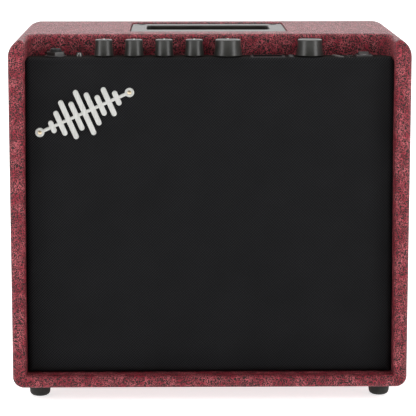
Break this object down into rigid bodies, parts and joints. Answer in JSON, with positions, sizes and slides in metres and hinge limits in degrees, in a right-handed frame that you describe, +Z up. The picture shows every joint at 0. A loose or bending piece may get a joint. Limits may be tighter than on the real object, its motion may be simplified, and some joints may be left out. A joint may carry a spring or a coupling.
{
  "type": "guitar amplifier",
  "caption": "Practice combo guitar amplifier: vinyl-covered cabinet, cloth grille, recessed top control panel with knobs, and an inset carrying handle",
  "frame": {"origin": "centre of the whole object's box, on the surface that its rubber feet stand on", "axes": "+X to the right seen from the front, -Y out of the front grille, +Z up"},
  "size_m": [0.358, 0.21, 0.33],
  "materials": {
    "vinyl_covered_wood": "pebbled burgundy vinyl covering over wooden boards",
    "grille_fabric": "black woven grille cloth with a fine diagonal pattern",
    "black_wood": "fibreboard stained matt black",
    "black_plastic": "satin black moulded plastic",
    "knob_plastic": "satin dark grey moulded plastic",
    "panel_steel": "fine-textured black powder coat",
    "badge_metal": "satin silver",
    "rubber": "black rubber",
    "plated_steel": "zinc-plated pressed steel",
    "circuit_board": "green solder mask",
    "nickel": "bright nickel",
    "display_glass": "dark gloss window",
    "speaker_paper": "pressed black paper pulp",
    "ferrite": "dark grey ferrite",
    "copper": "enamelled copper winding",
    "varnished_cloth": "amber varnished cloth"
  },
  "bodies": {
    "cabinet": {"cabinet_shell": "vinyl_covered_wood", "baffle_board": "black_wood", "grille_frame": "black_wood", "back_panel": "black_wood", "grille_cloth": "grille_fabric", "badge": "badge_metal", "foot_front_left": "rubber", "foot_front_right": "rubber", "foot_back_left": "rubber", "foot_back_right": "rubber", "speaker_surround": "rubber", "handle_plate": "black_plastic", "handle_cup": "black_plastic", "input_jack_collar": "black_plastic", "input_jack_body": "black_plastic", "headphone_jack": "black_plastic", "switch_housing": "black_plastic", "encoder_body": "black_plastic", "power_inlet": "black_plastic", "control_panel": "panel_steel", "chassis_tray": "plated_steel", "speaker_basket": "plated_steel", "speaker_top_plate": "plated_steel", "speaker_yoke": "plated_steel", "power_transformer": "plated_steel", "main_board": "circuit_board", "amplifier_board": "circuit_board", "gain_potentiometer": "black_plastic", "volume_potentiometer": "black_plastic", "treble_potentiometer": "black_plastic", "bass_potentiometer": "black_plastic", "master_potentiometer": "black_plastic", "aux_jack": "nickel", "usb_port": "nickel", "display_window": "display_glass", "speaker_magnet": "ferrite", "spider": "varnished_cloth"},
    "gain_control": {"gain_knob": "knob_plastic", "gain_shaft": "nickel"},
    "volume_control": {"volume_knob": "knob_plastic", "volume_shaft": "nickel"},
    "treble_control": {"treble_knob": "knob_plastic", "treble_shaft": "nickel"},
    "bass_control": {"bass_knob": "knob_plastic", "bass_shaft": "nickel"},
    "master_control": {"master_knob": "knob_plastic", "master_shaft": "nickel"},
    "encoder_press": {"encoder_plunger": "black_plastic"},
    "encoder_dial": {"encoder_knob": "knob_plastic", "encoder_shaft": "nickel"},
    "layer_button_1": {"layer_button_1": "black_plastic"},
    "layer_button_2": {"layer_button_2": "black_plastic"},
    "layer_button_3": {"layer_button_3": "black_plastic"},
    "utility_button_1": {"utility_button_1": "black_plastic"},
    "utility_button_2": {"utility_button_2": "black_plastic"},
    "utility_button_3": {"utility_button_3": "black_plastic"},
    "power_rocker": {"switch_rocker": "black_plastic"},
    "speaker_motion": {"speaker_cone": "speaker_paper", "dust_cap": "speaker_paper", "voice_coil": "copper"}
  },
  "joints": [
    {"name": "gain_turn", "type": "hinge", "parent": "cabinet", "child": "gain_control", "pos_m": [-0.0951, -0.071, 0.3108], "axis": [0, 0, -1], "range_deg": [-150, 150]},
    {"name": "volume_turn", "type": "hinge", "parent": "cabinet", "child": "volume_control", "pos_m": [-0.068, -0.071, 0.3108], "axis": [0, 0, -1], "range_deg": [-150, 150]},
    {"name": "treble_turn", "type": "hinge", "parent": "cabinet", "child": "treble_control", "pos_m": [-0.0409, -0.071, 0.3108], "axis": [0, 0, -1], "range_deg": [-150, 150]},
    {"name": "bass_turn", "type": "hinge", "parent": "cabinet", "child": "bass_control", "pos_m": [-0.0138, -0.071, 0.3108], "axis": [0, 0, -1], "range_deg": [-150, 150]},
    {"name": "master_turn", "type": "hinge", "parent": "cabinet", "child": "master_control", "pos_m": [0.0166, -0.071, 0.3108], "axis": [0, 0, -1], "range_deg": [-150, 150]},
    {"name": "encoder_press", "type": "slide", "parent": "cabinet", "child": "encoder_press", "axis": [0, 0, -1], "range_m": [0, 0.0006], "stiffness_N_per_m": 500},
    {"name": "encoder_turn", "type": "hinge", "parent": "encoder_press", "child": "encoder_dial", "pos_m": [0.0903, -0.071, 0.3108], "axis": [0, 0, -1], "continuous": true},
    {"name": "layer_button_1_press", "type": "slide", "parent": "cabinet", "child": "layer_button_1", "axis": [0, 0, -1], "range_m": [0, 0.0008], "stiffness_N_per_m": 200},
    {"name": "layer_button_2_press", "type": "slide", "parent": "cabinet", "child": "layer_button_2", "axis": [0, 0, -1], "range_m": [0, 0.0008], "stiffness_N_per_m": 200},
    {"name": "layer_button_3_press", "type": "slide", "parent": "cabinet", "child": "layer_button_3", "axis": [0, 0, -1], "range_m": [0, 0.0008], "stiffness_N_per_m": 200},
    {"name": "utility_button_1_press", "type": "slide", "parent": "cabinet", "child": "utility_button_1", "axis": [0, 0, -1], "range_m": [0, 0.0008], "stiffness_N_per_m": 200},
    {"name": "utility_button_2_press", "type": "slide", "parent": "cabinet", "child": "utility_button_2", "axis": [0, 0, -1], "range_m": [0, 0.0008], "stiffness_N_per_m": 200},
    {"name": "utility_button_3_press", "type": "slide", "parent": "cabinet", "child": "utility_button_3", "axis": [0, 0, -1], "range_m": [0, 0.0008], "stiffness_N_per_m": 200},
    {"name": "power_rock", "type": "hinge", "parent": "cabinet", "child": "power_rocker", "pos_m": [0.1392, -0.071, 0.3114], "axis": [1, 0, 0], "range_deg": [-14, 0]},
    {"name": "cone_travel", "type": "slide", "parent": "cabinet", "child": "speaker_motion", "axis": [0, -1, 0], "range_m": [-0.003, 0.003], "stiffness_N_per_m": 1500, "deforming": ["speaker_surround", "spider"]}
  ]
}
